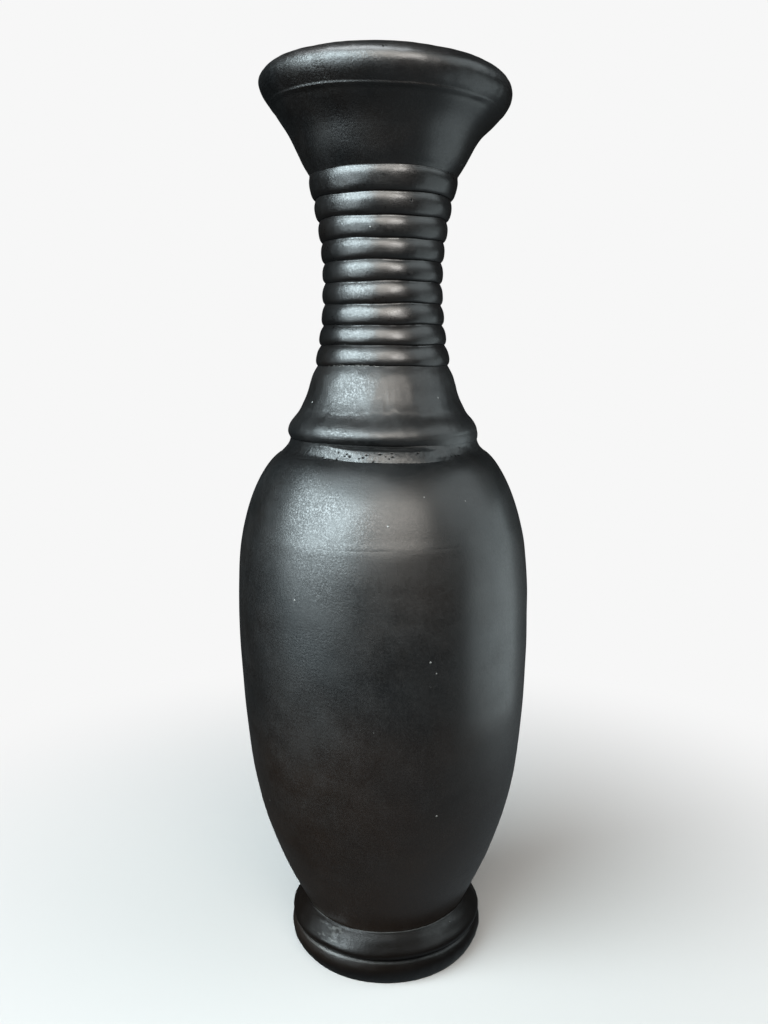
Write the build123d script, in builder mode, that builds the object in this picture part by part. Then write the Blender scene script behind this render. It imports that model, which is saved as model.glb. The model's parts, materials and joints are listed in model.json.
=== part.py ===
from build123d import *
import os
from typing import NamedTuple

# Tall burnished black-clay vase, built the way a potter builds it: thrown and coiled sections,
# scored and luted one on another from the foot up. Each section is its own solid.
# Millimetres, +Z up. The origin is on the table, at the centre of the foot.
# Every section is a solid of revolution about Z, so each profile is drawn in the XZ plane as
# (radius, height).

# ---- driving dimensions ---------------------------------------------------------------------
TOTAL_HEIGHT = 500.0

LAP = 2.4  # height of the step that keys one section into the next
BODY_WALL = 7.2
NECK_WALL = 6.2
LIP_WALL = 7.4
FLOOR = 8.0  # thickness of the floor inside the body

FOOT_BORE = 41.0  # radius of the open recess under the body
FOOT_BEAD_TOP = 15.9
FOOT_TOP = 29.2
FOOT_LEDGE = 0.5  # how far the foot's top edge stands out past the body

BELLY_RADIUS = 83.8
BELLY_HEIGHT = 200.0
BODY_SEAM_HEIGHT = 257.0  # where the closed-in shoulder is luted to the thrown body
BODY_SEAM_RADIUS = 79.45

SHOULDER_TOP = 301.0
COLLAR_STEM_RADIUS = 51.6  # the collar's plain wall, hidden behind the pressed coil
BEAD_UNDERSIDE = 306.4

NECK_BASE = 346.3
RING_COUNT = 9
RING_PITCH = 10.975
TOP_RING = 12.2  # the uppermost ring is a little taller than the rest
NECK_WAIST_RADIUS = 31.8  # radius of the grooves where the neck is narrowest
NECK_WAIST_HEIGHT = 389.0
NECK_FLARE = 0.0026  # the grooves' radius grows by this times the squared distance in height
RING_BULGE = 1.7  # how far a ring's crest stands out from the line between its grooves
RING_CREST = 0.45  # how far up the ring its crest lies, as a share
RING_FOOT_ANGLE = 58.0  # how steeply a ring turns in to the groove below it, in degrees
RING_HEAD_ANGLE = 36.0  # and to the groove above it

LIP_SEAM_HEIGHT = 479.4
LIP_SEAM_RADIUS = 62.1


# ---- seams ----------------------------------------------------------------------------------
class Seam(NamedTuple):
    """The joint between two sections: its height and radius outside, and the wall's thickness."""

    height: float
    radius: float
    wall: float

    def seat(self):
        """The stepped joint faces, from outside to inside: out flat, up the key, in flat."""
        key = self.radius - self.wall / 2
        inner = self.radius - self.wall
        return [
            (self.radius, self.height),
            (key, self.height),
            (key, self.height + LAP),
            (inner, self.height + LAP),
        ]


def groove_radius(height):
    """The neck's waisted outline through its grooves, which is a parabola."""
    return NECK_WAIST_RADIUS + NECK_FLARE * (height - NECK_WAIST_HEIGHT) ** 2


FOOT_GROOVE = Seam(FOOT_BEAD_TOP, 55.6, 55.6 - FOOT_BORE)
FOOT_JOINT = Seam(FOOT_TOP, 48.6, 48.6 - FOOT_BORE)
BODY_SEAM = Seam(BODY_SEAM_HEIGHT, BODY_SEAM_RADIUS, BODY_WALL)
SHOULDER_SEAM = Seam(SHOULDER_TOP, COLLAR_STEM_RADIUS, BODY_WALL)
NECK_SEAMS = [
    Seam(height, groove_radius(height), NECK_WALL)
    for height in [NECK_BASE + RING_PITCH * ring for ring in range(RING_COUNT)]
    + [NECK_BASE + RING_PITCH * (RING_COUNT - 1) + TOP_RING]
]
LIP_SEAM = Seam(LIP_SEAM_HEIGHT, LIP_SEAM_RADIUS, LIP_WALL)


# ---- profile helpers ------------------------------------------------------------------------
def inset_points(outer, wall, count):
    """Points one wall's thickness inside an outer edge that was drawn from the bottom up."""
    points = []
    for step in range(1, count):
        share = step / count
        rising = outer.tangent_at(share)
        points.append(outer.position_at(share) + Vector(-rising.Y, rising.X) * wall)
    return points


def close_between(outer, lower, upper, wall, count=6):
    """Closes a section's profile: its upper seat, its inner wall and its lower seat."""
    top = upper.seat()
    bottom = lower.seat()
    inside = inset_points(outer, wall, count)
    Polyline(*top)
    Spline(top[-1], *reversed(inside), bottom[-1])
    Polyline(*reversed(bottom))


def save(builder, name):
    """Labels a finished section and writes it as parts/NAME.step."""
    builder.part.label = name
    export_step(builder.part, f"parts/{name}.step")


os.makedirs("parts", exist_ok=True)


# ---- foot bead: the rounded ring that the vase stands on -------------------------------------
REST_OUTER = 52.6
REST_INNER = 43.4
BORE_EASE = 2.4  # the rounding from the resting face into the bore

with BuildPart() as foot_bead:
    with BuildSketch(Plane.XZ):
        with BuildLine():
            Spline((REST_OUTER, 0), (56.0, 4.6), (57.8, 11.0), FOOT_GROOVE.seat()[0])
            Polyline(*FOOT_GROOVE.seat())
            Line(FOOT_GROOVE.seat()[-1], (FOOT_BORE, BORE_EASE))
            ThreePointArc((FOOT_BORE, BORE_EASE), (41.7, 0.7), (REST_INNER, 0))
            Line((REST_INNER, 0), (REST_OUTER, 0))
        make_face()
    revolve(axis=Axis.Z)
save(foot_bead, "foot_bead")


# ---- foot moulding: the sloping cushion between the bead and the body ------------------------
FOOT_TOP_EDGE = (FOOT_JOINT.radius + FOOT_LEDGE, FOOT_JOINT.height)

with BuildPart() as foot_moulding:
    with BuildSketch(Plane.XZ):
        with BuildLine():
            Spline(FOOT_GROOVE.seat()[0], (57.2, 18.8), (55.0, 23.2), (52.2, 26.7), FOOT_TOP_EDGE)
            Line(FOOT_TOP_EDGE, FOOT_JOINT.seat()[0])
            Polyline(*FOOT_JOINT.seat())
            Line(FOOT_JOINT.seat()[-1], FOOT_GROOVE.seat()[-1])
            Polyline(*reversed(FOOT_GROOVE.seat()))
        make_face()
    revolve(axis=Axis.Z)
save(foot_moulding, "foot_moulding")


# ---- body: the thrown bowl, from its floor past the belly to the body seam -------------------
UNDERSIDE = FOOT_TOP + LAP
INNER_FLOOR = UNDERSIDE + FLOOR
FLOOR_RADIUS = 36.0
FLOOR_CORNER = [(52.2, 57.5), (45.9, 46.8)]  # the wall thickens as it turns into the floor
SEAM_SLOPE = (-0.235, 1.0)  # the outline's direction where it crosses the body seam

with BuildPart() as body:
    with BuildSketch(Plane.XZ):
        with BuildLine():
            outline = Spline(
                FOOT_JOINT.seat()[0],
                (57.3, 47.5),
                (68.7, 75.7),
                (77.6, 111.5),
                (82.4, 156.6),
                (BELLY_RADIUS, BELLY_HEIGHT),
                (82.9, 232.0),
                BODY_SEAM.seat()[0],
                tangents=[(0.5, 1.0), SEAM_SLOPE],
            )
            Polyline(*BODY_SEAM.seat())
            Spline(
                BODY_SEAM.seat()[-1],
                *reversed(inset_points(outline, BODY_WALL, 9)[1:]),
                *FLOOR_CORNER,
                (FLOOR_RADIUS, INNER_FLOOR),
                tangents=[(0.235, -1.0), (-1.0, 0.0)],
            )
            Polyline(
                (FLOOR_RADIUS, INNER_FLOOR),
                (0, INNER_FLOOR),
                (0, UNDERSIDE),
                *reversed(FOOT_JOINT.seat()),
            )
        make_face()
    revolve(axis=Axis.Z)
save(body, "body")


# ---- shoulder: closes the body in to the collar ----------------------------------------------
with BuildPart() as shoulder:
    with BuildSketch(Plane.XZ):
        with BuildLine():
            outline = Spline(
                BODY_SEAM.seat()[0],
                (75.85, 269.8),
                (68.4, 286.5),
                (58.8, 297.8),
                SHOULDER_SEAM.seat()[0],
                tangents=[SEAM_SLOPE, (-1.0, 0.3)],
            )
            close_between(outline, BODY_SEAM, SHOULDER_SEAM, BODY_WALL)
        make_face()
    revolve(axis=Axis.Z)
save(shoulder, "shoulder")

# ---- seam coil: soft clay pressed into the corner between shoulder and collar ----------------
COIL_TOP_RADIUS = 52.2

with BuildPart() as seam_coil:
    with BuildSketch(Plane.XZ):
        with BuildLine():
            Polyline(
                (58.4, 297.0),
                (COLLAR_STEM_RADIUS, 297.0),
                (COLLAR_STEM_RADIUS, BEAD_UNDERSIDE),
                (COIL_TOP_RADIUS, BEAD_UNDERSIDE),
            )
            Spline(
                (COIL_TOP_RADIUS, BEAD_UNDERSIDE),
                (53.7, 302.7),
                (57.2, 299.4),
                (58.4, 297.0),
            )
        make_face()
    revolve(axis=Axis.Z)
    add(shoulder.part, mode=Mode.SUBTRACT)
save(seam_coil, "seam_coil")


# ---- collar: the flared stand of the neck, with a bead round its base ------------------------
with BuildPart() as collar:
    with BuildSketch(Plane.XZ):
        with BuildLine():
            Polyline(
                SHOULDER_SEAM.seat()[0],
                (COLLAR_STEM_RADIUS, BEAD_UNDERSIDE),
                (COIL_TOP_RADIUS, BEAD_UNDERSIDE),
            )
            Spline(
                (COIL_TOP_RADIUS, BEAD_UNDERSIDE),
                (53.5, 310.6),
                (51.9, 315.6),
                (47.9, 319.9),
                (44.9, 325.0),
                (41.8, 333.2),
                (39.3, 341.3),
                NECK_SEAMS[0].seat()[0],
                tangents=[(0.6, 1.0), (-0.6, 1.0)],
            )
            Polyline(*NECK_SEAMS[0].seat())
            Spline(
                NECK_SEAMS[0].seat()[-1],
                (34.6, 333.0),
                (38.6, 320.0),
                SHOULDER_SEAM.seat()[-1],
            )
            Polyline(*reversed(SHOULDER_SEAM.seat()))
        make_face()
    revolve(axis=Axis.Z)
save(collar, "collar")


# ---- neck rings: stacked coils, smoothed together inside and left ribbed outside -------------
for ring, (lower, upper) in enumerate(zip(NECK_SEAMS, NECK_SEAMS[1:]), start=1):
    foot = Vector(lower.radius, lower.height)
    head = Vector(upper.radius, upper.height)
    rising = (head - foot).normalized()
    outward = Vector(rising.Y, -rising.X)
    crest = foot + (head - foot) * RING_CREST + outward * RING_BULGE
    with BuildPart() as neck_ring:
        with BuildSketch(Plane.XZ):
            with BuildLine():
                outline = Spline(
                    foot,
                    crest,
                    head,
                    tangents=[
                        rising.rotate(Axis.Z, -RING_FOOT_ANGLE),
                        rising.rotate(Axis.Z, RING_HEAD_ANGLE),
                    ],
                )
                Polyline(*upper.seat())
                Line(upper.seat()[-1], lower.seat()[-1])
                Polyline(*reversed(lower.seat()))
            make_face()
        revolve(axis=Axis.Z)
    save(neck_ring, f"neck_ring_{ring}")


# ---- mouth bell: the flare from the neck up to the lip ---------------------------------------
with BuildPart() as mouth_bell:
    with BuildSketch(Plane.XZ):
        with BuildLine():
            outline = Spline(
                NECK_SEAMS[-1].seat()[0],
                (45.6, 454.6),
                (49.8, 462.9),
                (54.1, 469.6),
                (59.7, 476.2),
                LIP_SEAM.seat()[0],
            )
            close_between(outline, NECK_SEAMS[-1], LIP_SEAM, NECK_WALL)
        make_face()
    revolve(axis=Axis.Z)
save(mouth_bell, "mouth_bell")


# ---- lip coil: the heavy rolled rim -----------------------------------------------------------
LIP_RADIUS = 67.7
LIP_CREST = 489.8
LIP_TOP_RADIUS = 58.2

with BuildPart() as lip_coil:
    with BuildSketch(Plane.XZ):
        with BuildLine():
            Spline(
                LIP_SEAM.seat()[0],
                (LIP_RADIUS, LIP_CREST),
                (65.4, 496.0),
                (LIP_TOP_RADIUS, TOTAL_HEIGHT),
                (53.0, 497.2),
                (52.0, 490.6),
                LIP_SEAM.seat()[-1],
                tangents=[(1.0, 0.9), (0.85, -1.0)],
            )
            Polyline(*reversed(LIP_SEAM.seat()))
        make_face()
    revolve(axis=Axis.Z)
save(lip_coil, "lip_coil")
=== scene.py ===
import json
import math

import bpy
import numpy as np
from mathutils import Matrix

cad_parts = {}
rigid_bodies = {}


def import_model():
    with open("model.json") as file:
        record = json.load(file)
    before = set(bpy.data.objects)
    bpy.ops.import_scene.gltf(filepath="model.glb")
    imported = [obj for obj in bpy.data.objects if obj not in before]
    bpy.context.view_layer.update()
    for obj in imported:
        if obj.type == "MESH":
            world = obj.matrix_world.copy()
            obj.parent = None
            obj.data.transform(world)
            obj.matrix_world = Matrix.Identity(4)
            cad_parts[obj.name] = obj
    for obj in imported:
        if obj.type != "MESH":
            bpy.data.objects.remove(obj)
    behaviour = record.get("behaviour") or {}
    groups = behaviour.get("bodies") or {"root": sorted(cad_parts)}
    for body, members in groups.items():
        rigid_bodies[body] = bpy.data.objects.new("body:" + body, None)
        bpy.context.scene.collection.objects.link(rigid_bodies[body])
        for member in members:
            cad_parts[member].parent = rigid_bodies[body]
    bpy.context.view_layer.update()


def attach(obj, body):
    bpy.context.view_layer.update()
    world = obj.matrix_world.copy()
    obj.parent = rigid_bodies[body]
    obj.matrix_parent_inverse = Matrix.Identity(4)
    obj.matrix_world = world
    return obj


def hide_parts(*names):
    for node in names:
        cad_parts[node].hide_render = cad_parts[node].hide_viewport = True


# Tall burnished black-clay vase. Each CAD section is replaced by a finer, hand-made version
# of itself: a lathed mesh with the same seams, pushed slightly out of true. Shapes are worked
# out in millimetres, as (radius, height), with the same outline points as the CAD, and stored
# in metres. Azimuths are in degrees: 0 faces the camera, and they grow towards +X.

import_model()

MM = 0.001
rng = np.random.default_rng(7)


# ---- small numeric helpers ---------------------------------------------------------------
def smooth(edge0, edge1, value):
    """0 below edge0, 1 above edge1, and an even S between them."""
    t = np.clip((value - edge0) / (edge1 - edge0), 0.0, 1.0)
    return t * t * (3.0 - 2.0 * t)


def bump(centre, width, value):
    """A soft hump of height 1 at centre that dies out about one width away."""
    return np.exp(-(((value - centre) / width) ** 2) * 2.0)


def ripple(points, wavelength, seed, waves=18):
    """Smooth random relief over points in mm, about 1 strong and one wavelength across."""
    local = np.random.default_rng(seed)
    total = np.zeros(len(points))
    for _ in range(waves):
        direction = local.normal(size=3)
        direction /= np.linalg.norm(direction)
        turn = 2 * math.pi / (wavelength * local.uniform(0.7, 1.5))
        total += np.sin(points @ (direction * turn) + local.uniform(0, 2 * math.pi))
    return total * math.sqrt(2.0 / waves) * 0.7


def curve(points, step, start=None, end=None):
    """A smooth cubic through the points, sampled about every step mm.

    start and end, where given, are its directions at its two ends."""
    p = np.array(points, float)
    n = len(p)
    h = np.hypot(*np.diff(p, axis=0).T)
    a = np.zeros((n, n))
    b = np.zeros((n, 2))
    for i in range(1, n - 1):
        a[i, i - 1 : i + 2] = h[i], 2 * (h[i - 1] + h[i]), h[i - 1]
        b[i] = 3 * (
            h[i] * (p[i] - p[i - 1]) / h[i - 1] + h[i - 1] * (p[i + 1] - p[i]) / h[i]
        )
    a[0, :2] = 2, 1
    b[0] = 3 * (p[1] - p[0]) / h[0]
    a[-1, -2:] = 1, 2
    b[-1] = 3 * (p[-1] - p[-2]) / h[-1]
    if start is not None:
        a[0, :2] = 1, 0
        b[0] = np.array(start) / np.hypot(*start)
    if end is not None:
        a[-1, -2:] = 0, 1
        b[-1] = np.array(end) / np.hypot(*end)
    d = np.linalg.solve(a, b)
    out = []
    for i in range(n - 1):
        count = max(2, int(math.ceil(h[i] / step)))
        t = (np.arange(count) / count)[:, None]
        out.append(
            (2 * t**3 - 3 * t**2 + 1) * p[i]
            + (t**3 - 2 * t**2 + t) * h[i] * d[i]
            + (-2 * t**3 + 3 * t**2) * p[i + 1]
            + (t**3 - t**2) * h[i] * d[i + 1]
        )
    out.append(p[-1:])
    return np.concatenate(out)


def straight(points, step):
    """Straight runs through the points, sampled about every step mm."""
    p = np.array(points, float)
    out = []
    for a, b in zip(p, p[1:]):
        count = max(1, int(math.ceil(np.hypot(*(b - a)) / step)))
        out.append(a + (b - a) * (np.arange(count) / count)[:, None])
    out.append(p[-1:])
    return np.concatenate(out)


def inset(outer, wall, every):
    """The outer edge moved inwards by the wall's thickness, one point kept in every few."""
    heading = np.gradient(outer, axis=0)
    heading /= np.hypot(*heading.T)[:, None]
    inner = outer + np.stack([-heading[:, 1], heading[:, 0]], 1) * wall
    return inner[every:-every:every]


def midway(share, power=1.0):
    """0 at both ends of an edge and 1 halfway up it; a power below 1 broadens the middle."""
    return np.sin(math.pi * np.clip(share, 0.0, 1.0)) ** power


# ---- the sections' seams, as in the CAD --------------------------------------------------
LAP = 2.4  # height of the step in each joint
BODY_WALL = 7.2
NECK_WALL = 6.2
LIP_WALL = 7.4
FOOT_BORE = 41.0
RING_COUNT = 9
RING_PITCH = 10.975
TOP_RING_PITCH = 12.2
FOOT_TOP = 29.2
NECK_FOOT = 346.3
WAIST_RADIUS = 31.8
WAIST_HEIGHT = 389.0


def seat(height, radius, wall):
    """A seam's stepped joint faces, from outside to inside."""
    key, inner = radius - wall / 2, radius - wall
    return [(radius, height), (key, height), (key, height + LAP), (inner, height + LAP)]


def groove(height):
    """Radius of the neck's waisted outline through its grooves."""
    return WAIST_RADIUS + 0.0026 * (height - WAIST_HEIGHT) ** 2


FOOT_GROOVE = seat(15.9, 55.6, 55.6 - FOOT_BORE)
FOOT_JOINT = seat(FOOT_TOP, 48.6, 48.6 - FOOT_BORE)
BODY_SEAM = seat(257.0, 79.45, BODY_WALL)
SHOULDER_SEAM = seat(301.0, 51.6, BODY_WALL)
neck_heights = [NECK_FOOT + RING_PITCH * ring for ring in range(RING_COUNT)]
neck_heights.append(neck_heights[-1] + TOP_RING_PITCH)
NECK_SEAMS = [seat(height, groove(height), NECK_WALL) for height in neck_heights]
LIP_SEAM = seat(479.4, 62.1, LIP_WALL)
BEAD_UNDERSIDE = 306.4


# ---- what the potter's hands did to the whole piece, in mm -------------------------------
# Sideways lean of the axis towards +X at each height, in mm.
LEAN = [
    (0, 1.5),
    (29, 1.3),
    (50, 0.9),
    (100, 0.6),
    (170, 0.1),
    (260, -0.5),
    (340, -0.5),
    (430, -0.3),
    (460, 0.3),
    (482, 1.5),
    (500, 0.5),
]
# How far the rim's level falls towards +X: mm of height per mm across.
TILT = [(440, 0.0), (462, 0.012), (482, 0.045), (490, 0.028), (500, 0.026)]
# Height of each neck seam above even spacing.
SEAM_RISE = [0.0, 0.1, -0.45, -0.4, 0.3, 0.0, -0.2, -0.1, 0.1, 0.0]
RIM_DROP = 1.7  # keeps the tilted lip's high side at the height of the CAD's lip
# How far the piece is out of round: lobes, depth in mm, and mm of height per radian.
LOBES = ((2, 0.16, 41.0), (3, 0.12, 67.0), (5, 0.05, 23.0))
# How far it wavers up and down: the same three, and where the wave starts, in radians.
WAVER = ((3, 0.22, 9.0, 0.0), (7, 0.14, 5.3, 1.0), (2, 0.12, -17.0, 0.0))


def along(table, height):
    """A table of (height, value) read smoothly at each height."""
    keys = np.array(table, float)
    inner = np.interp(height, keys[:, 0], keys[:, 1])
    near = np.interp(height - 6, keys[:, 0], keys[:, 1])
    far = np.interp(height + 6, keys[:, 0], keys[:, 1])
    return (inner * 2 + near + far) / 4


def handmade(p):
    """Moves points (x, y, z) in mm the way the finished piece is out of true."""
    x, y, z = p.T
    radius = np.hypot(x, y)
    angle = np.arctan2(y, x)
    lifted = smooth(2.0, 14.0, z)
    out = np.zeros(len(p))
    for lobes, depth, twist in LOBES:
        out += depth * (np.sin(lobes * angle + z / twist) - 1.0)
    out += 0.10 * (ripple(p, 46.0, 5) - 1.0)
    out = np.minimum(out, 0.0) * lifted
    wave = along(list(zip(neck_heights, SEAM_RISE)), z)
    for lobes, lift, twist, turn in WAVER:
        wave += lift * np.sin(lobes * angle + z / twist + turn)
    wave *= smooth(8.0, 20.0, z) * (1 - smooth(486.0, 494.0, z))
    wave -= along(TILT, z) * x + RIM_DROP * smooth(490.0, 500.0, z)
    scale = (radius + out) / np.maximum(radius, 1e-6)
    return np.stack([x * scale + along(LEAN, z), y * scale, z + wave], 1)


# ---- lathe -------------------------------------------------------------------------------
CORNER = math.radians(28.0)  # a profile that turns more sharply than this keeps its edge


def keep_corners(mesh, loop, segments):
    """Marks the rings of edges that run round the profile's corners as sharp."""
    ahead = np.roll(loop, -1, axis=0) - loop
    behind = loop - np.roll(loop, 1, axis=0)
    turn = np.arctan2(ahead[:, 1], ahead[:, 0]) - np.arctan2(behind[:, 1], behind[:, 0])
    turn = np.abs((turn + math.pi) % (2 * math.pi) - math.pi)
    ends = np.empty(len(mesh.edges) * 2, np.int32)
    mesh.edges.foreach_get("vertices", ends)
    row = ends.reshape(-1, 2) // segments
    sharp = (row[:, 0] == row[:, 1]) & (turn > CORNER)[row[:, 0]]
    edge = mesh.attributes.new("sharp_edge", "BOOLEAN", "EDGE")
    edge.data.foreach_set("value", sharp)


def lathe(name, outer, inner, slot, finish=None, segments=480, relief=None, paint=None):
    """Turns outer (bottom to top) and inner (top to bottom) round Z into one closed piece.

    relief(azimuth, share, points) gives how far each outer point stands out, in mm, and paint
    the strength of its marks: above 0 pale crumbs of clay or painted highlights, below 0
    painted shade in pits, grooves and creases. share runs from 0 at the outer edge's foot to 1
    at its top."""
    loop = np.concatenate([outer, inner])
    rows = len(loop)
    angle = np.linspace(0, 2 * math.pi, segments, endpoint=False)
    radius = np.repeat(loop[:, 0], segments)
    turn = np.tile(angle, rows)
    points = np.stack(
        [radius * np.cos(turn), radius * np.sin(turn), np.repeat(loop[:, 1], segments)],
        1,
    )
    # outward direction of the outer edge, for the relief
    count = len(outer)
    rise = np.gradient(outer, axis=0)
    rise /= np.hypot(*rise.T)[:, None]
    face = np.stack([rise[:, 1], -rise[:, 0]], 1)
    lengths = np.r_[0, np.cumsum(np.hypot(*np.diff(outer, axis=0).T))]
    share = np.repeat(lengths / lengths[-1], segments)
    own = points[: count * segments]
    azimuth = np.degrees(np.arctan2(own[:, 0], -own[:, 1]))
    marks_and_painted_light = np.zeros(len(points))
    if relief is not None:
        push = relief(azimuth, share, own)
        side = np.repeat(face, segments, axis=0)
        t = turn[: count * segments]
        own[:, 0] += push * side[:, 0] * np.cos(t)
        own[:, 1] += push * side[:, 0] * np.sin(t)
        own[:, 2] += push * side[:, 1]
    if paint is not None:
        marks_and_painted_light[: count * segments] = paint(azimuth, share, own)
    points = handmade(points)
    row = np.arange(rows)[:, None] * segments
    nxt = np.roll(np.arange(rows), -1)[:, None] * segments
    col = np.arange(segments)[None, :]
    right = np.roll(np.arange(segments), -1)[None, :]
    quads = np.stack([row + col, row + right, nxt + right, nxt + col], -1)
    quads = quads.reshape(-1, 4)
    mesh = bpy.data.meshes.new(name)
    mesh.vertices.add(len(points))
    mesh.vertices.foreach_set("co", (points * MM).astype(np.float32).ravel())
    mesh.loops.add(len(quads) * 4)
    mesh.loops.foreach_set("vertex_index", quads.astype(np.int32).ravel())
    mesh.polygons.add(len(quads))
    mesh.polygons.foreach_set("loop_start", np.arange(0, len(quads) * 4, 4, dtype=np.int32))
    mesh.polygons.foreach_set("use_smooth", np.ones(len(quads), bool))
    attribute = mesh.attributes.new("marks_and_painted_light", "FLOAT", "POINT")
    attribute.data.foreach_set("value", marks_and_painted_light.astype(np.float32))
    mesh.update(calc_edges=True)
    keep_corners(mesh, loop, segments)
    piece = bpy.data.objects.new(name, mesh)
    bpy.context.scene.collection.objects.link(piece)
    piece.data.materials.append(clay[finish or slot])
    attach(piece, "root")
    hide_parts(name.replace("clay_", ""))
    return piece


# ---- clay --------------------------------------------------------------------------------
MIX_A, MIX_B, MIX_RESULT = 6, 7, 2  # a Mix node's colour sockets


class Nodes:
    """Short names for building a material's node tree."""

    def __init__(self, name):
        self.material = bpy.data.materials.new(name)
        self.material.use_nodes = True
        self.tree = self.material.node_tree
        self.tree.nodes.clear()
        self.shader = self.add("ShaderNodeBsdfPrincipled")
        self.link(self.shader, "BSDF", self.add("ShaderNodeOutputMaterial"), "Surface")
        self.place = self.add("ShaderNodeTexCoord")

    def add(self, kind, **settings):
        node = self.tree.nodes.new(kind)
        for key, value in settings.items():
            setattr(node, key, value)
        return node

    def link(self, a, out, b, into):
        self.tree.links.new(a.outputs[out], b.inputs[into])

    def moved(self, location):
        """The object's own coordinates, moved to another part of a texture."""
        move = self.add("ShaderNodeMapping")
        move.inputs["Location"].default_value = location
        self.link(self.place, "Object", move, "Vector")
        return move

    def noise(self, scale, detail, rough, stretch=(1, 1, 1), seed=0.0):
        """Noise over the object's own coordinates; stretch squeezes it along X, Y and Z."""
        move = self.moved((seed, seed * 0.7, seed * 1.3))
        move.inputs["Scale"].default_value = stretch
        node = self.add("ShaderNodeTexNoise")
        node.inputs["Scale"].default_value = scale
        node.inputs["Detail"].default_value = detail
        node.inputs["Roughness"].default_value = rough
        self.link(move, "Vector", node, "Vector")
        return node, "Fac"

    def specks(self, scale, radius, seed, keep):
        """Small dots, one in a share `keep` of the cells of a random grid."""
        move = self.moved((seed, seed * 0.6, seed * 1.7))
        node = self.add("ShaderNodeTexVoronoi")
        node.inputs["Scale"].default_value = scale
        self.link(move, "Vector", node, "Vector")
        dot = self.span((node, "Distance"), radius, radius * 0.45, 0.0, 1.0)
        split = self.add("ShaderNodeSeparateColor")
        self.link(node, "Color", split, "Color")
        chosen = self.math("LESS_THAN", (split, "Red"), keep)
        return self.math("MULTIPLY", dot, chosen)

    def math(self, operation, a, b, clamp=False):
        """An operation on two values, each a (node, output) pair or a number."""
        node = self.add("ShaderNodeMath", operation=operation, use_clamp=clamp)
        for i, value in enumerate((a, b)):
            if isinstance(value, tuple):
                self.link(*value, node, i)
            else:
                node.inputs[i].default_value = value
        return node, "Value"

    def span(self, value, low, high, to_low, to_high):
        """value carried from low..high to to_low..to_high, held at the ends."""
        node = self.add("ShaderNodeMapRange", clamp=True)
        for i, number in enumerate((low, high, to_low, to_high), start=1):
            node.inputs[i].default_value = number
        self.link(*value, node, 0)
        return node, "Result"

    def mix(self, factor, a, b):
        """Colour a where factor is 0 and b where it is 1."""
        node = self.add("ShaderNodeMix", data_type="RGBA")
        self.link(*factor, node, 0)
        for socket, value in ((MIX_A, a), (MIX_B, b)):
            if isinstance(value[0], bpy.types.Node):
                self.link(*value, node, socket)
            else:
                node.inputs[socket].default_value = (*value, 1.0)
        return node, MIX_RESULT

    def facing(self, azimuth, none, full):
        """1 on the side that faces azimuth, out to full degrees from it; 0 beyond none."""
        flat = self.add("ShaderNodeVectorMath", operation="MULTIPLY")
        flat.inputs[1].default_value = (1.0, 1.0, 0.0)
        self.link(self.place, "Object", flat, 0)
        unit = self.add("ShaderNodeVectorMath", operation="NORMALIZE")
        self.link(flat, "Vector", unit, 0)
        dot = self.add("ShaderNodeVectorMath", operation="DOT_PRODUCT")
        a = math.radians(azimuth)
        dot.inputs[1].default_value = (math.sin(a), -math.cos(a), 0.0)
        self.link(unit, "Vector", dot, 0)
        low, high = math.cos(math.radians(none)), math.cos(math.radians(full))
        return self.span((dot, "Value"), low, high, 0.0, 1.0)

    def mark(self):
        """The strength of a piece's own marks, kept in its mesh: pale crumbs and painted
        highlights above 0, painted shade below.
        """
        return self.add("ShaderNodeAttribute", attribute_name="marks_and_painted_light"), "Fac"


WORN_SIDE = -30.0  # azimuth of the side where the burnished skin is crackled
SPECK_TINT = (0.30, 0.30, 0.29)
# pale of dry clay crumbs, and of the painted highlights on the foot
PALE_CLAY_AND_HIGHLIGHT_TINT = (0.17, 0.165, 0.155)
# near black painted into pits, grooves and creases: painted shade
PAINTED_SHADE_TINT = (0.002, 0.002, 0.002)
CLAY_IOR = 1.55
SKIN_ROUGHNESS = 0.22
STROKE = (-0.012, 0.016)  # how far turning and wiping strokes take the roughness down and up
BROWNING_HEIGHTS = (0.20, 0.05)  # the clay grows browner between these heights, going down, in m


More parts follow.
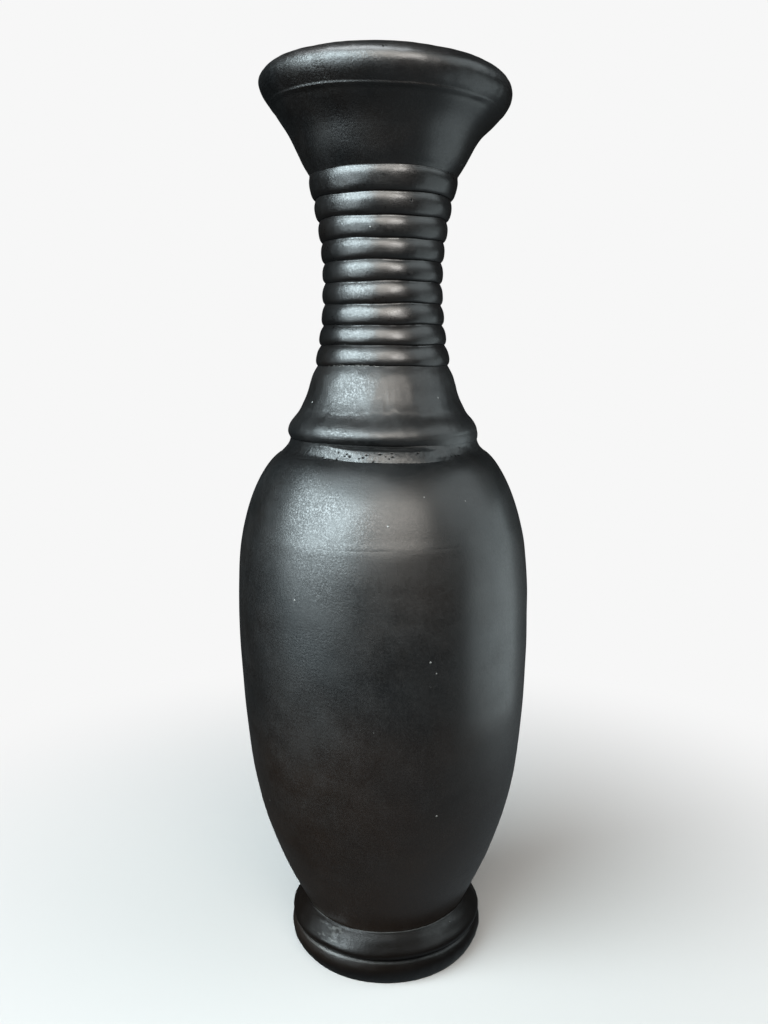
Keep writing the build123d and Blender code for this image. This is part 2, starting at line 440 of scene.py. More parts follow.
def black_clay(name, gloss, grain, pits, tint, polish=0.35, crackle=0.078):
    """Smoke-fired clay: near black and satin, with a burnished skin, grain and stray specks.

    gloss is the satin's roughness, grain what rubbed grains add to it, and pits the share of
    cells with a pit. polish says how much of the burnished skin lies over it all: the skin is
    crackled, crackle mm deep, round WORN_SIDE. tint is its dark, warm and pale colour."""
    m = Nodes(name)
    cloud = m.noise(14.0, 4.0, 0.6)
    smudge = m.noise(55.0, 5.0, 0.6, seed=3.1)
    fine = m.noise(760.0, 4.0, 0.7, seed=1.7)
    grit = m.noise(1500.0, 2.0, 0.6, seed=5.2)
    spark = m.noise(1100.0, 2.0, 0.6, seed=7.9)
    wear_and_highlight = m.facing(WORN_SIDE, 30.0, 8.0)
    patch = m.span(m.noise(38.0, 3.0, 0.6, seed=9.4), 0.36, 0.56, 0.35, 1.0)
    patch = m.math("MULTIPLY", patch, m.span(wear_and_highlight, 0.0, 1.0, 0.25, 1.0))
    turning = m.noise(34.0, 4.0, 0.65, stretch=(1, 1, 26), seed=2.3)
    wiping = m.noise(60.0, 3.0, 0.6, stretch=(7, 7, 1), seed=6.6)
    speck = m.specks(58.0, 0.036, 4.0, 0.9)
    pit = m.specks(210.0, 0.16, 8.0, pits)
    marks_and_painted_light = m.mark()

    # colour: cool black drifting to a warmer brown, browner towards the bottom, paler on
    # rubbed grain and specks
    dark, warm, pale = tint
    spot = m.add("ShaderNodeSeparateXYZ")
    m.link(m.place, "Object", spot, "Vector")
    browner_low = m.span((spot, "Z"), *BROWNING_HEIGHTS, 0.0, 0.85)
    drift = m.math("ADD", m.span(cloud, 0.38, 0.70, 0.0, 0.4), browner_low, clamp=True)
    colour = m.mix(drift, dark, warm)
    colour = m.mix(m.span(fine, 0.52, 0.80, 0.0, 0.22), colour, pale)
    colour = m.mix(m.math("MULTIPLY", speck, 0.85), colour, SPECK_TINT)
    # pale crumbs of clay, and painted highlights, where a piece's marks run above 0
    colour = m.mix(m.span(marks_and_painted_light, 0.0, 1.0, 0.0, 1.0), colour, PALE_CLAY_AND_HIGHLIGHT_TINT)
    # painted shade: the pits painted near black
    colour = m.mix(pit, colour, PAINTED_SHADE_TINT)
    # painted shade where a piece's marks run below 0, in its pits, grooves and creases
    colour = m.mix(m.span(marks_and_painted_light, 0.0, -1.0, 0.0, 1.0), colour, PAINTED_SHADE_TINT)
    m.link(*colour, m.shader, "Base Color")

    # roughness: hazier where smudged, rougher on grain, with the strokes of the work
    rough = m.span(smudge, 0.3, 0.75, gloss - 0.05, gloss + 0.08)
    rough = m.math("ADD", rough, m.span(fine, 0.35, 0.75, -0.05, grain))
    for strokes in (turning, wiping):
        rough = m.math("ADD", rough, m.span(strokes, 0.35, 0.7, *STROKE))
    rough = m.math("ADD", rough, m.math("MULTIPLY", pit, 0.4), clamp=True)
    m.link(*rough, m.shader, "Roughness")

    # shine: a burnished skin in flakes on the worn side, and none in the pits or under the
    # painted shade
    m.shader.inputs["IOR"].default_value = CLAY_IOR
    m.shader.inputs["Coat IOR"].default_value = CLAY_IOR
    m.shader.inputs["Coat Roughness"].default_value = SKIN_ROUGHNESS
    holes = m.math("MAXIMUM", pit, m.span(marks_and_painted_light, -0.1, -0.9, 0.0, 1.0))
    m.link(*m.span(holes, 0.0, 1.0, 0.5, 0.05), m.shader, "Specular IOR Level")
    flakes = m.math("MULTIPLY", m.span(spark, 0.50, 0.60, -0.5, 1.0), patch)
    skin = m.math("ADD", m.math("MULTIPLY", flakes, 1.5), 0.95)
    skin = m.math("MULTIPLY", skin, polish)
    skin = m.math("MULTIPLY", skin, m.span(holes, 0.0, 1.0, 1.0, 0.0), clamp=True)
    m.link(*skin, m.shader, "Coat Weight")

    # relief too fine for the mesh, in mm
    rise = m.math("MULTIPLY", m.span(fine, 0.3, 0.75, 0.0, 1.0), patch)
    height = m.math("MULTIPLY", rise, crackle)
    for layer, depth in ((grit, 0.006), (turning, 0.008), (smudge, 0.03)):
        rise = m.math("MULTIPLY", m.span(layer, 0.3, 0.7, 0.0, 1.0), depth)
        height = m.math("ADD", height, rise)
    height = m.math("ADD", height, m.math("MULTIPLY", speck, 0.12))
    height = m.math("SUBTRACT", height, m.math("MULTIPLY", pit, 0.22))
    relief = m.add("ShaderNodeBump")
    relief.inputs["Strength"].default_value = 1.0
    relief.inputs["Distance"].default_value = MM
    m.link(*height, relief, "Height")
    for normal in ("Normal", "Coat Normal"):
        m.link(relief, "Normal", m.shader, normal)
    return m.material


# dark, warm and pale colours
COOL = ((0.0020, 0.0025, 0.0029), (0.0090, 0.0044, 0.0022), (0.010, 0.011, 0.011))
WARM = ((0.0040, 0.0034, 0.0029), (0.0090, 0.0050, 0.0030), (0.010, 0.009, 0.008))
clay = {
    "burnished_clay": black_clay("burnished_black_clay", 0.38, 0.08, 0.004, COOL),
    "body_clay": black_clay("satin_black_clay", 0.44, 0.08, 0.004, COOL),
    "rim_clay": black_clay("rim_black_clay", 0.36, 0.10, 0.004, COOL, crackle=0.17),
    "ribbed_clay": black_clay("ribbed_black_clay", 0.34, 0.10, 0.006, COOL),
    "pitted_clay": black_clay("pitted_black_clay", 0.40, 0.10, 0.03, COOL, polish=0.3),
    "foot_clay": black_clay("foot_black_clay", 0.44, 0.10, 0.006, WARM, polish=0.12),
}


# ---- foot --------------------------------------------------------------------------------
FINE = 0.5  # sampling of the outline, in mm
COARSE = 3.5  # sampling of the joints and of the inside
ROUND = (1, 1, 0)  # a ripple over p * ROUND varies round a piece and not up it
BORE_FOOT = (FOOT_BORE, 2.4)
STAND_INNER = (43.4, 0)
STAND_OUTER = (52.6, 0)


def foot_bead_relief(azimuth, share, p):
    """Shallow lumps, sunk to stay within the outline, and a rounded top edge."""
    lump = ripple(p, 9.0, 31) * 0.10 * midway(share)
    rounded = 0.55 * np.clip((share - 0.88) / 0.12, 0.0, 1.0) ** 2
    return np.minimum(lump, 0.12) - 0.12 * midway(share) - rounded


def foot_bead_painted_highlight(azimuth, share, p):
    """Painted highlight: the bead's top edge painted pale at the front left, where the light
    falls on it.
    """
    wear_and_highlight = 0.95 * bump(-36.0, 20.0, azimuth)
    wear_and_highlight += 0.35 * smooth(-34.0, -10.0, azimuth) * (1 - smooth(8.0, 44.0, azimuth))
    wear_and_highlight *= 0.75 + 0.25 * ripple(p * (1, 1, 3), 3.5, 37)
    # painted highlight: the pale band lies along the bead's top edge
    return np.clip(wear_and_highlight * bump(0.935, 0.045, share), 0.0, 1.0)


bead_edge = curve([STAND_OUTER, (56.0, 4.6), (57.8, 11.0), FOOT_GROOVE[0]], FINE)
lathe(
    "clay_foot_bead",
    bead_edge,
    np.concatenate(
        [
            straight([*FOOT_GROOVE[1:], BORE_FOOT], COARSE),
            curve([BORE_FOOT, (41.7, 0.7), STAND_INNER], 0.6)[1:],
            straight([STAND_INNER, STAND_OUTER], COARSE)[1:-1],
        ]
    ),
    "foot_clay",
    relief=foot_bead_relief,
    paint=foot_bead_painted_highlight,
)


def slip_smear(azimuth, p):
    """A lump of slip left under the body, and the run it made down the moulding."""
    z = p[:, 2]
    total = 0.7 * bump(-44.0, 9.0, azimuth) * bump(28.2, 1.2, z)
    total += 0.55 * bump(-32.0, 5.2, azimuth) * bump(24.8, 3.8, z)
    total += 0.35 * bump(-38.0, 8.0, azimuth) * bump(20.6, 1.6, z)
    return total * (1 + 0.12 * ripple(p, 4.0, 77))


def moulding_painted_highlights(azimuth, share, p):
    """Painted highlights: pale paint standing for glints along the joint with the body, on the
    slip lump, and in streaks below where the slip ran.
    """
    z = p[:, 2]
    wander = 0.5 + 0.5 * smooth(-0.8, 0.8, ripple(p * ROUND, 9.0, 34))
    # painted highlight along the joint with the body
    line = 1.3 * wander * smooth(-28.0, -12.0, azimuth) * (1 - smooth(30.0, 62.0, azimuth))
    line += 1.4 * bump(-50.0, 11.0, azimuth)
    # painted glints in streaks where the slip ran
    glint_streaks = smooth(0.1, 0.8, ripple(p * (0.6, 0.6, 2.2), 3.0, 35))
    glint_streaks *= bump(-36.0, 12.0, azimuth) * (bump(22.4, 1.8, z) + bump(27.4, 1.4, z))
    # painted highlight on the slip lump
    lump = 0.7 * bump(-34.0, 1.9, azimuth) * bump(25.4, 2.0, z)
    return np.minimum(line * bump(0.968, 0.014, share) + 1.2 * glint_streaks + lump, 1.0)


def moulding_relief(azimuth, share, p):
    """Small lumps, the run of slip, and a bead of slip along the joint with the body."""
    keep = midway(share, 0.6)
    rough = 0.07 * (ripple(p, 12.0, 32) - 0.8) * keep
    slip = 0.42 * (0.7 + 0.3 * ripple(p * ROUND, 14.0, 33)) * bump(0.955, 0.04, share)
    slip *= 1 + 0.6 * bump(-52.0, 9.0, azimuth)
    return rough + slip_smear(azimuth, p) * keep + slip


moulding_top = (49.1, FOOT_TOP)
moulding_edge = np.concatenate(
    [
        curve([FOOT_GROOVE[0], (57.2, 18.8), (55.0, 23.2), (52.2, 26.7), moulding_top], FINE),
        straight([moulding_top, FOOT_JOINT[0]], FINE)[1:],
    ]
)
lathe(
    "clay_foot_moulding",
    moulding_edge,
    np.concatenate(
        [
            straight([*FOOT_JOINT[1:], FOOT_GROOVE[-1]], COARSE),
            straight(FOOT_GROOVE[:0:-1], COARSE)[1:],
        ]
    ),
    "foot_clay",
    segments=720,
    relief=moulding_relief,
    paint=moulding_painted_highlights,
)

# ---- body and shoulder -------------------------------------------------------------------
FLOOR_BOTTOM = FOOT_TOP + LAP
FLOOR_TOP = FLOOR_BOTTOM + 8.0
FLOOR_STEP = 8.0  # sampling of the flat floor
HUB = 0.6  # the lathe closes on a pinhole of this radius at the axis
BODY_LEAN_IN = (-0.235, 1.0)  # the outline's direction where shoulder meets body


def body_relief(azimuth, share, p):
    """Faint throwing rings and pressed flats, and the nick of the seam at the top."""
    rings = 0.012 * np.sin(p[:, 2] / 2.1) * ripple(p, 60.0, 9)
    flats = 0.07 * (ripple(p, 30.0, 12) - 1.0)
    seam = -0.05 * smooth(0.994, 1.0, share) * smooth(-0.6, 1.0, ripple(p, 34.0, 14))
    return rings + flats * (1 - smooth(0.97, 1.0, share)) + seam


body_edge = curve(
    [
        FOOT_JOINT[0],
        (57.3, 47.5),
        (68.7, 75.7),
        (77.6, 111.5),
        (82.4, 156.6),
        (83.8, 200.0),
        (82.9, 232.0),
        BODY_SEAM[0],
    ],
    1.4,
    start=(0.5, 1.0),
    end=BODY_LEAN_IN,
)
bowl = curve(
    [
        BODY_SEAM[-1],
        *inset(body_edge, BODY_WALL, 20)[:0:-1],
        (52.2, 57.5),
        (45.9, 46.8),
        (36.0, FLOOR_TOP),
    ],
    COARSE,
    start=(0.235, -1.0),
    end=(-1.0, 0.0),
)
lathe(
    "clay_body",
    body_edge,
    np.concatenate(
        [
            straight(BODY_SEAM[1:-1], COARSE),
            bowl,
            straight([(30.0, FLOOR_TOP), (HUB, FLOOR_TOP), (HUB, FLOOR_BOTTOM)], FLOOR_STEP),
            straight([(12.0, FLOOR_BOTTOM), *FOOT_JOINT[:0:-1]], FLOOR_STEP),
        ]
    ),
    "burnished_clay",
    "body_clay",
    segments=384,
    relief=body_relief,
)


def shoulder_relief(azimuth, share, p):
    """Faint throwing rings and pressed flats, and the nick of the seam at the bottom."""
    rings = 0.012 * np.sin(p[:, 2] / 1.9) * ripple(p, 50.0, 19)
    keep = smooth(0.0, 0.1, share) * smooth(0.0, 0.1, 1 - share)
    flats = 0.07 * (ripple(p, 26.0, 22) - 1.0) * keep
    seam = -0.05 * (1 - smooth(0.0, 0.012, share)) * smooth(-0.6, 1.0, ripple(p, 34.0, 14))
    return rings + flats + seam


shoulder_edge = curve(
    [BODY_SEAM[0], (75.85, 269.8), (68.4, 286.5), (58.8, 297.8), SHOULDER_SEAM[0]],
    0.9,
    start=BODY_LEAN_IN,
    end=(-1.0, 0.3),
)
lathe(
    "clay_shoulder",
    shoulder_edge,
    np.concatenate(
        [
            straight(SHOULDER_SEAM[1:], COARSE),
            inset(shoulder_edge, BODY_WALL, 5)[::-1],
            straight(BODY_SEAM[:0:-1], COARSE),
        ]
    ),
    "burnished_clay",
    "body_clay",
    relief=shoulder_relief,
)


# ---- seam coil ---------------------------------------------------------------------------
PIT_COUNT = 46
FRONT_PITS = 14  # of those, in the front of the roll
pit_azimuth = rng.uniform(-180, 180, PIT_COUNT)
pit_azimuth[:FRONT_PITS] = rng.uniform(-37, -4, FRONT_PITS)
pit_share = np.clip(rng.normal(0.42, 0.14, PIT_COUNT), 0.12, 0.8)
pit_width = rng.uniform(0.28, 0.5, PIT_COUNT)
pit_long = rng.uniform(1.0, 1.8, PIT_COUNT)
COIL_LENGTH = 11.3
COIL_RADIUS = 55.0
COIL_TOP = 306.2
ROLL = 2.4  # how far its roll stands out, in mm
ROLL_END = (6.0, 46.0)  # the roll gives way to the smear between these azimuths
SMEAR = 1.4
PIT_DEPTH = 0.2


def smeared(azimuth):
    """Where clay was dragged up over the bead's underside, and how thickly, in mm."""
    return SMEAR * smooth(*ROLL_END, azimuth) * (1 - smooth(140.0, 178.0, azimuth))


def coil_pits(azimuth, share):
    """How deep each point lies in a pit, 0 to 1."""
    deep = np.zeros(len(azimuth))
    for centre, up, width, long in zip(pit_azimuth, pit_share, pit_width, pit_long):
        apart = np.radians((azimuth - centre + 180) % 360 - 180)
        across = apart * COIL_RADIUS / (width * long)
        along_edge = (share - up) * COIL_LENGTH / width
        deep = np.maximum(deep, np.exp(-((across**2 + along_edge**2) ** 1.5)))
    return deep


def coil_relief(azimuth, share, p):
    """A roll pressed in along the front, a smear of clay to its right, and open pits."""
    keep = smooth(0.0, 0.12, share) * smooth(0.0, 0.25, 1 - share)
    full = smooth(-64.0, -28.0, azimuth) * (1 - smooth(*ROLL_END, azimuth))
    # the roll swells from low to its crest; at the left it sits higher and swells more softly
    low = 0.12 + 0.17 * smooth(8.0, 32.0, -azimuth) + 0.02 * ripple(p * ROUND, 14.0, 44)
    crest = 0.70 + 0.20 * smooth(14.0, 36.0, -azimuth)
    rise = np.clip((share - low) / (crest - low), 0.0, 1.0)
    soft = smooth(20.0, 42.0, -azimuth)
    shape = (1 - soft) * (rise * (2.0 - rise)) ** 0.9 + soft * smooth(0.0, 1.0, rise)
    roll = ROLL * full * shape * (1 - smooth(-0.08, 0.36, share - crest))
    lumps = 0.09 * ripple(p, 9.0, 41) + 0.03 * ripple(p, 2.6, 42)
    smear = 0.85 * smeared(azimuth) * smooth(0.35, 1.0, share)
    return roll + lumps * keep + smear - PIT_DEPTH * coil_pits(azimuth, share)


def coil_painted_shade(azimuth, share, p):
    """Painted shade in the pits and under the bead, thinner at the left."""
    # painted shade under the bead
    painted_shade = 0.7 * smooth(0.84, 0.94, share + 0.02 * ripple(p, 5.0, 43))
    painted_shade *= (1 - smooth(8.0, 34.0, azimuth)) * (1 - 0.8 * smooth(14.0, 36.0, -azimuth))
    return -np.minimum(1.6 * coil_pits(azimuth, share) + painted_shade, 1.0)


coil_edge = curve(
    [(58.9, 297.4), (56.5, 299.5), (54.4, 301.7), (52.9, 304.0), (52.3, COIL_TOP)], 0.33
)
lathe(
    "clay_seam_coil",
    coil_edge,
    straight([(51.7, COIL_TOP), (51.7, 301.05), (54.6, 299.9), (57.4, 298.0)], 1.0),
    "pitted_clay",
    segments=960,
    relief=coil_relief,
    paint=coil_painted_shade,
)


# ---- collar ------------------------------------------------------------------------------
LEDGE_HEIGHT = 322.4  # where the bead meets the cone
SHADE_REACH_HEIGHT = 307.2  # how far the painted shade reaches up the bead's underside


def collar_relief(azimuth, share, p):
    """The tooled ledge under the cone, runs of slip down it, and the smear under the bead."""
    z = p[:, 2]
    line = LEDGE_HEIGHT + 0.8 * ripple(p * ROUND, 16.0, 51) + 0.5 * ripple(p * ROUND, 5.0, 52)
    ledge = 0.12 * smooth(-1.2, 0.9, z - line) - 0.12 * smooth(0, 9, z - line)
    drip = 0.07 * bump(4.2, 1.3, azimuth) * bump(330.5, 7.0, z)
    drip += 0.05 * bump(8.6, 1.6, azimuth) * bump(331.5, 4.5, z)
    drip += 0.05 * bump(0.6, 1.0, azimuth) * bump(325.5, 4.0, z)
    lumps = 0.05 * ripple(p, 7.0, 53) * smooth(0.0, 0.08, share)
    top = smooth(0.0, 0.04, 1 - share)
    fill = 1.45 * smeared(azimuth) * np.clip(1 - (z - COIL_TOP) / 4.2, 0.0, 1.0) ** 1.25
    return (ledge + drip + lumps) * top + fill


def crumbs(azimuth, p, low, high, seed, level):
    """Crumbs of dry clay along a seam between two azimuths, 0 to 1; fewer as level rises."""
    within = smooth(low - 8, low + 4, azimuth) * smooth(-high - 8, -high + 4, -azimuth)
    return within * smooth(level, level + 0.5, ripple(p, 2.2, seed))


def collar_shade_and_crumbs(azimuth, share, p):
    """Painted shade up the bead's underside to a ragged line, and crumbs under the lowest
    ring.
    """
    ragged = 0.7 * ripple(p * ROUND, 7.0, 55) + 0.5 * ripple(p * ROUND, 2.8, 56)
    reach = SHADE_REACH_HEIGHT + 1.6 * bump(-14.0, 22.0, azimuth) * (1 + 0.5 * ragged)
    reach -= 4.0 * smooth(8.0, 34.0, azimuth) * (1 - smooth(150.0, 178.0, azimuth))
    # painted shade below the ragged line on the bead's underside
    dark = -0.55 * (1 - smooth(-0.9, 0.9, p[:, 2] - reach))
    return dark + 0.8 * crumbs(azimuth, p, -45, -4, 61, 0.5) * smooth(0.985, 0.995, share)


collar_foot = (52.2, BEAD_UNDERSIDE)
collar_edge = np.concatenate(
    [
        straight([(51.65, BEAD_UNDERSIDE), collar_foot], 0.3)[:-1],
        curve(
            [
                collar_foot,
                (53.45, 309.3),
                (51.8, 315.0),
                (47.9, 319.9),
                (44.9, 325.0),
                (41.8, 333.2),
                (39.3, 341.3),
                NECK_SEAMS[0][0],
            ],
            0.42,
            start=(0.6, 1.0),
            end=(-0.6, 1.0),
        ),
    ]
)
lathe(
    "clay_collar",
    collar_edge,
    np.concatenate(
        [
            straight(NECK_SEAMS[0][1:-1], COARSE),
            curve(
                [NECK_SEAMS[0][-1], (34.6, 333.0), (38.6, 320.0), SHOULDER_SEAM[-1]], COARSE
            ),
            straight(SHOULDER_SEAM[2::-1], COARSE),
        ]
    ),
    "burnished_clay",
    "body_clay",
    segments=720,
    relief=collar_relief,
    paint=collar_shade_and_crumbs,
)

# ---- neck rings --------------------------------------------------------------------------
RING_BULGE = 1.7
RING_CREST = 0.45  # how far up a coil stands out the most
RING_FOOT_ANGLE = math.radians(58.0)  # how steeply its curve leaves the groove below
RING_HEAD_ANGLE = math.radians(36.0)  # and how steeply it meets the groove above


def ring_relief(number):
    """Each coil's own unevenness, and the burr squeezed up along its top edge."""

    def relief(azimuth, share, p):
        keep = midway(share)
        swell = 0.08 * ripple(p * ROUND, 22.0, 70 + number) * keep
        lumps = 0.03 * ripple(p, 7.0, 80 + number) * keep
        ragged = smooth(-0.9, 0.6, ripple(p * (1, 1, 0.4), 7.0, 90 + number))
        burr = 0.25 * (0.35 + 0.65 * ragged) * bump(0.965, 0.028, share)
        return swell + lumps + burr

    return relief


def ring_shade_and_crumbs(number):
    """Painted shade in the grooves, and pale crumbs there, thickest at the foot of the lowest
    coil.
    """

    def paint(azimuth, share, p):
        # painted shade in the groove at the coil's foot
        painted_shade = -0.9 * (1 - smooth(0.0, 0.10, share))
        at_foot = 1 - smooth(0.03, 0.07, share)
        if number == 1:
            return painted_shade + 1.7 * crumbs(azimuth, p, -52, 2, 62, 0.3) * at_foot
        return painted_shade + 1.2 * crumbs(azimuth, p, -70, -30, 62 + number, 0.9) * at_foot

    return paint


for number, (lower, upper) in enumerate(zip(NECK_SEAMS, NECK_SEAMS[1:]), start=1):
    foot, head = np.array(lower[0]), np.array(upper[0])
    rising = (head - foot) / np.hypot(*(head - foot))
    outward = np.array([rising[1], -rising[0]])
    crest = foot + (head - foot) * RING_CREST + outward * RING_BULGE
    edge = curve(
        [foot, crest, head],
        0.3,
        start=rising * math.cos(RING_FOOT_ANGLE) + outward * math.sin(RING_FOOT_ANGLE),
        end=rising * math.cos(RING_HEAD_ANGLE) - outward * math.sin(RING_HEAD_ANGLE),
    )
    lathe(
        f"clay_neck_ring_{number}",
        edge,
        np.concatenate(
            [straight([*upper[1:], lower[-1]], COARSE), straight(lower[2:0:-1], COARSE)]
        ),
        "ribbed_clay",
        segments=600,
        relief=ring_relief(number),
        paint=ring_shade_and_crumbs(number),
    )


# ---- mouth bell and lip ------------------------------------------------------------------
LEDGE = 0.5  # how far the ledge where the lip's coil rests on the bell stands out, in mm


def lip_ledge(azimuth):
    """How far the ledge under the lip stands out: less at the sides and behind."""
    front = smooth(-85.0, -40.0, azimuth) * (1 - smooth(20.0, 60.0, azimuth))
    return LEDGE * (0.35 + 0.65 * front)


def bell_relief(azimuth, share, p):
    """Throwing rings and soft lumps, and the ledge at the top."""
    keep = smooth(0.0, 0.06, share) * smooth(0.0, 0.06, 1 - share)
    rings = 0.03 * np.sin(p[:, 2] / 1.7) * (0.6 + 0.4 * ripple(p, 40.0, 101))
    lumps = 0.14 * (ripple(p, 24.0, 102) - 0.6)
    return (rings + lumps) * keep + lip_ledge(azimuth) * smooth(0.925, 1.0, share)


bell_edge = curve(
    [
        NECK_SEAMS[-1][0],
        (45.6, 454.6),
        (49.8, 462.9),
        (54.1, 469.6),
        (59.7, 476.2),
        LIP_SEAM[0],
    ],
    0.8,
)
lathe(
    "clay_mouth_bell",
    bell_edge,
    np.concatenate(
        [
            straight(LIP_SEAM[1:], COARSE),
            inset(bell_edge, NECK_WALL, 4)[::-1],
            straight(NECK_SEAMS[-1][:0:-1], COARSE),
        ]
    ),
    "burnished_clay",
    relief=bell_relief,
)


def lip_relief(azimuth, share, p):
    """Soft lumps round the rolled rim, and the ledge carried on where it meets the bell."""
    lumps = 0.10 * (ripple(p, 24.0, 111) - 0.8) + 0.05 * (ripple(p, 7.0, 112) - 0.8)
    return lumps * midway(share, 0.5) + lip_ledge(azimuth) * (1 - smooth(0.0, 0.022, share))


lip_edge = curve(
    [
        LIP_SEAM[0],
        (67.7, 489.8),
        (65.4, 496.0),
        (58.2, 500.0),
        (53.0, 497.2),
        (52.0, 490.6),
        LIP_SEAM[-1],
    ],
    0.3,
    start=(1.0, 0.9),
    end=(0.85, -1.0),
)
lathe(
    "clay_lip_coil",
    lip_edge,
    straight(LIP_SEAM[2:0:-1], COARSE),
    "burnished_clay",
    "rim_clay",
    segments=560,
    relief=lip_relief,
)


# ---- floor -------------------------------------------------------------------------------
PALE = (0.93, 0.93, 0.93)
PAPER = (0.52, 0.50, 0.49)
SPREAD = 6.0  # half the floor's width, in m


def put(tree, kind, **inputs):
    """A new node, with some of its inputs set."""
    node = tree.nodes.new(kind)
    for name, value in inputs.items():
        node.inputs[name.replace("_", " ")].default_value = value
    return node


def join(tree, *links):
    """Makes links, each given as (node, output, node, input)."""
    for a, out, b, into in links:
        tree.links.new(a.outputs[out], b.inputs[into])


def floor_material():
    """Pale matt paper round the vase that melts into the pale background further away."""
    material = bpy.data.materials.new("pale_floor")
    material.use_nodes = True
    tree = material.node_tree
    tree.nodes.clear()
    paper = put(tree, "ShaderNodeBsdfDiffuse", Color=(*PAPER, 1.0))
    away = put(tree, "ShaderNodeEmission", Color=(*PALE, 1.0))
    place = put(tree, "ShaderNodeTexCoord")
    reach = put(tree, "ShaderNodeVectorMath")
    reach.operation = "LENGTH"
    fade = put(tree, "ShaderNodeMapRange", From_Min=0.08, From_Max=0.50)
    fade.interpolation_type = "SMOOTHSTEP"
    mix = put(tree, "ShaderNodeMixShader")
    surface = put(tree, "ShaderNodeOutputMaterial")
    join(
        tree,
        (place, "Object", reach, 0),
        (reach, "Value", fade, "Value"),
        (fade, "Result", mix, 0),
        (paper, 0, mix, 1),
        (away, 0, mix, 2),
        (mix, 0, surface, "Surface"),
    )
    return material


floor_mesh = bpy.data.meshes.new("floor")
floor_mesh.from_pydata(
    [(x * SPREAD, y * SPREAD, 0) for x, y in ((-1, -1), (1, -1), (1, 1), (-1, 1))],
    [],
    [(0, 1, 2, 3)],
)
floor = bpy.data.objects.new("floor", floor_mesh)
floor.data.materials.append(floor_material())
bpy.context.scene.collection.objects.link(floor)
floor.visible_glossy = False
floor.visible_diffuse = False


# ---- lights ------------------------------------------------------------------------------
def feather(data, core, lean):
    """Fades a soft box out from its core, and dims its +X side by lean.

    core is a share of its half size."""
    data.use_nodes = True
    tree = data.node_tree
    glow = next(node for node in tree.nodes if node.type == "EMISSION")
    place = put(tree, "ShaderNodeNewGeometry")
    split = put(tree, "ShaderNodeSeparateXYZ")
    join(tree, (place, "Parametric", split, 0))

    def span(axis, low, high, to_low, to_high, kind="SMOOTHSTEP"):
        node = put(tree, "ShaderNodeMapRange")
        node.interpolation_type = kind
        for i, number in enumerate((low, high, to_low, to_high), start=1):
            node.inputs[i].default_value = number
        join(tree, (split, axis, node, 0))
        return node

    rim = (1 - core) / 2
    fade = span("X", 0.0, 1.0, 1.0 + lean, 1.0 - lean, "LINEAR")
    for axis in "XY":
        for edge in (span(axis, 0.0, rim, 0.0, 1.0), span(axis, 1.0 - rim, 1.0, 1.0, 0.0)):
            product = put(tree, "ShaderNodeMath")
            product.operation = "MULTIPLY"
            join(tree, (fade, 0, product, 0), (edge, 0, product, 1))
            fade = product
    join(tree, (fade, 0, glow, "Strength"))


AIM = np.array([0.0, 0.0, 0.28])  # the point that every light faces


def soft_light(
    name, azimuth, elevation, distance, width, height, power, colour, core=0.4, lean=0.0
):
    """A soft box that faces the vase, its sizes in m and its power in W."""
    data = bpy.data.lights.new(name, "AREA")
    data.shape = "RECTANGLE"
    data.size, data.size_y = width, height
    data.energy = power
    data.color = colour
    feather(data, core, lean)
    light = bpy.data.objects.new(name, data)
    a, e = math.radians(azimuth), math.radians(elevation)
    light.location = AIM + distance * np.array(
        [math.sin(a) * math.cos(e), -math.cos(a) * math.cos(e), math.sin(e)]
    )
    light.rotation_euler = (math.radians(90) - e, 0.0, a)
    light.visible_camera = False
    bpy.context.scene.collection.objects.link(light)


BOARD = (92, -10, 0.62, 0.66, 0.6)  # azimuth, elevation, distance, width and height
BOARD_TINT = (0.84, 0.97, 1.0)

soft_light("window", -50, 27, 1.6, 2.0, 1.1, 100, (0.80, 0.95, 1.0), core=0.65)
soft_light("window_top", -30, 58, 1.6, 2.2, 0.6, 8, (0.86, 0.96, 1.0))
soft_light("skylight", -32, 69, 1.6, 2.2, 1.0, 56, (0.92, 0.97, 1.0))
soft_light("sill", -56, -3, 1.6, 1.7, 0.95, 18, (0.82, 0.95, 1.0))
soft_light("warm_wall", 12, 29, 1.8, 2.3, 1.4, 62, (1.0, 0.95, 0.88), lean=0.6)
soft_light("far_wall", 80, 32, 1.8, 2.2, 1.5, 17, (0.86, 0.97, 1.0))
soft_light("side_board", *BOARD, 1.9, BOARD_TINT, core=0.75)
soft_light("foot_window", -60, 22, 1.6, 0.8, 1.3, 42, (0.82, 0.95, 1.0))
soft_light("foot_top", -44, 44, 1.6, 0.9, 0.4, 8, (0.86, 0.96, 1.0))
soft_light("bead_top", -84, 58, 1.6, 1.5, 0.6, 120, (0.86, 0.96, 1.0))
soft_light("upper_board", *BOARD, 1.2, BOARD_TINT, core=0.75)
soft_light("doorway", 24, 20, 1.6, 0.7, 0.6, 15, (1.0, 0.97, 0.94))


def share_light(light_name, pieces, state):
    """Lights the pieces only (INCLUDE), or everything but them (EXCLUDE)."""
    group = bpy.data.collections.new(f"{light_name}_lit")
    bpy.data.objects[light_name].light_linking.receiver_collection = group
    for entry, piece in enumerate(pieces):
        group.objects.link(bpy.data.objects[piece])
        group.collection_objects[entry].light_linking.link_state = state


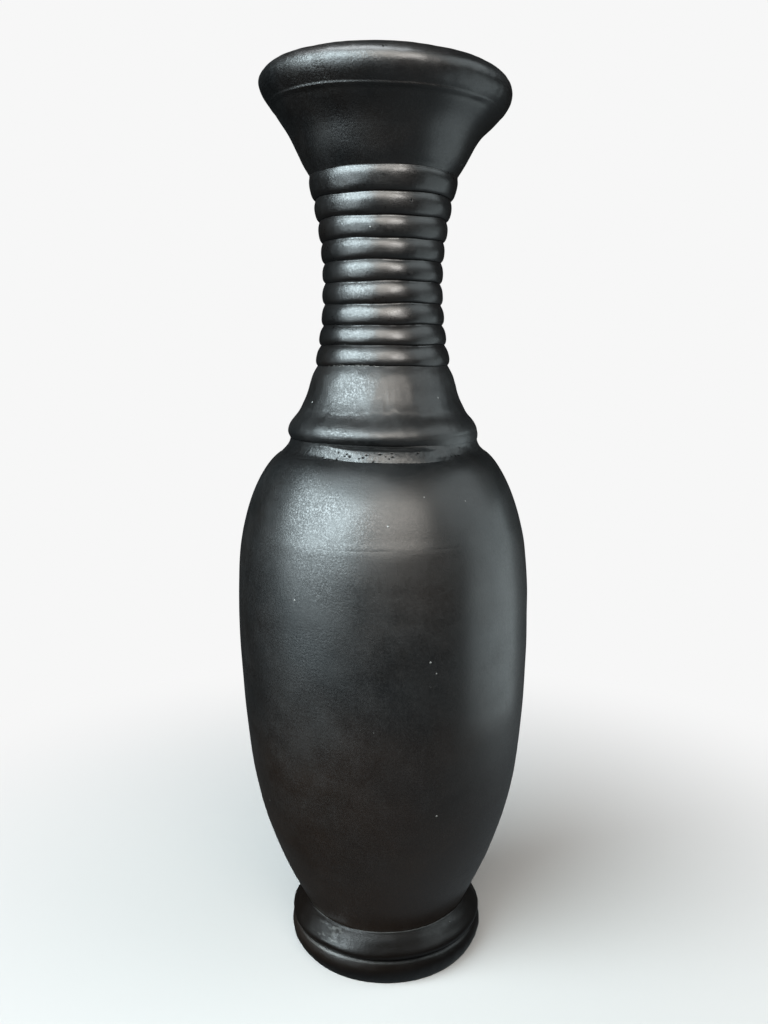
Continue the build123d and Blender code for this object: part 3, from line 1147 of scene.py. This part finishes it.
# The lights stand where the reflections on the vase call for them. No single set gives every
# part its tone, so some are linked to pieces. The foot has three lights of its own in place of
# the window, sill, warm wall and side board. The doorway lights the neck rings and the lip, a
# dimmer board those and the bell, and the skylight the lip alone.
bead, moulding, lip, bell = (
    f"clay_{part}" for part in ("foot_bead", "foot_moulding", "lip_coil", "mouth_bell")
)
upper_pieces = [f"clay_neck_ring_{n}" for n in range(1, RING_COUNT + 1)] + [lip]
for light_name, pieces, state in (
    ("window", [bead, moulding], "EXCLUDE"),
    ("sill", [bead, moulding], "EXCLUDE"),
    ("warm_wall", [bead, moulding], "EXCLUDE"),
    ("foot_window", [bead, moulding], "INCLUDE"),
    ("foot_top", [moulding], "INCLUDE"),
    ("bead_top", [bead], "INCLUDE"),
    ("side_board", [bead, moulding, *upper_pieces, bell], "EXCLUDE"),
    ("upper_board", [*upper_pieces, bell], "INCLUDE"),
    ("skylight", [lip], "INCLUDE"),
    ("doorway", upper_pieces, "INCLUDE"),
):
    share_light(light_name, pieces, state)


# ---- room and camera ---------------------------------------------------------------------
# The room's glow from straight down (0) through level (0.5) to straight up (1).
ROOM_GLOW = (
    (0.0, (0.12, 0.14, 0.15)),
    (0.22, (0.074, 0.084, 0.090)),
    (0.42, (0.012, 0.012, 0.012)),
    (1.0, (0.012, 0.012, 0.012)),
)


def studio():
    """A world that the camera sees as plain pale, and the vase as a dim room."""
    made = bpy.data.worlds.new("studio")
    made.use_nodes = True
    tree = made.node_tree
    tree.nodes.clear()
    backdrop = put(tree, "ShaderNodeBackground", Color=(*PALE, 1.0))
    room = put(tree, "ShaderNodeBackground")
    toward = put(tree, "ShaderNodeTexCoord")
    split = put(tree, "ShaderNodeSeparateXYZ")
    level = put(tree, "ShaderNodeMapRange", From_Min=-1.0)
    glow = put(tree, "ShaderNodeValToRGB")
    stops = glow.color_ramp.elements
    for height, _ in ROOM_GLOW[1:-1]:
        stops.new(height)
    for stop, (_, shade) in zip(stops, ROOM_GLOW):
        stop.color = (*shade, 1.0)
    # the room is darker on the window's side than on the other, where the pale boards stand
    sideways = put(
        tree, "ShaderNodeMapRange", From_Min=-0.7, From_Max=0.8, To_Min=0.1, To_Max=1.9
    )
    path = put(tree, "ShaderNodeLightPath")
    choose = put(tree, "ShaderNodeMixShader")
    surface = put(tree, "ShaderNodeOutputWorld")
    join(
        tree,
        (toward, "Generated", split, 0),
        (split, "Z", level, "Value"),
        (level, "Result", glow, "Fac"),
        (glow, "Color", room, "Color"),
        (split, "X", sideways, "Value"),
        (sideways, "Result", room, "Strength"),
        (path, "Is Camera Ray", choose, 0),
        (room, 0, choose, 1),
        (backdrop, 0, choose, 2),
        (choose, 0, surface, 0),
    )
    return made


bpy.context.scene.world = studio()

CAMERA_PLACE = (0.0003, -0.5311, 0.3569)
CAMERA_DIP = 10.04  # how many degrees below level it looks
camera_data = bpy.data.cameras.new("camera")
camera_data.lens = 32.98
camera_data.sensor_width = 36.0
camera = bpy.data.objects.new("camera", camera_data)
camera.location = CAMERA_PLACE
camera.rotation_euler = (math.radians(90 - CAMERA_DIP), 0.0, 0.0)
bpy.context.scene.collection.objects.link(camera)
bpy.context.scene.camera = camera
bpy.context.scene.view_settings.view_transform = "Standard"
bpy.context.scene.cycles.use_denoising = True
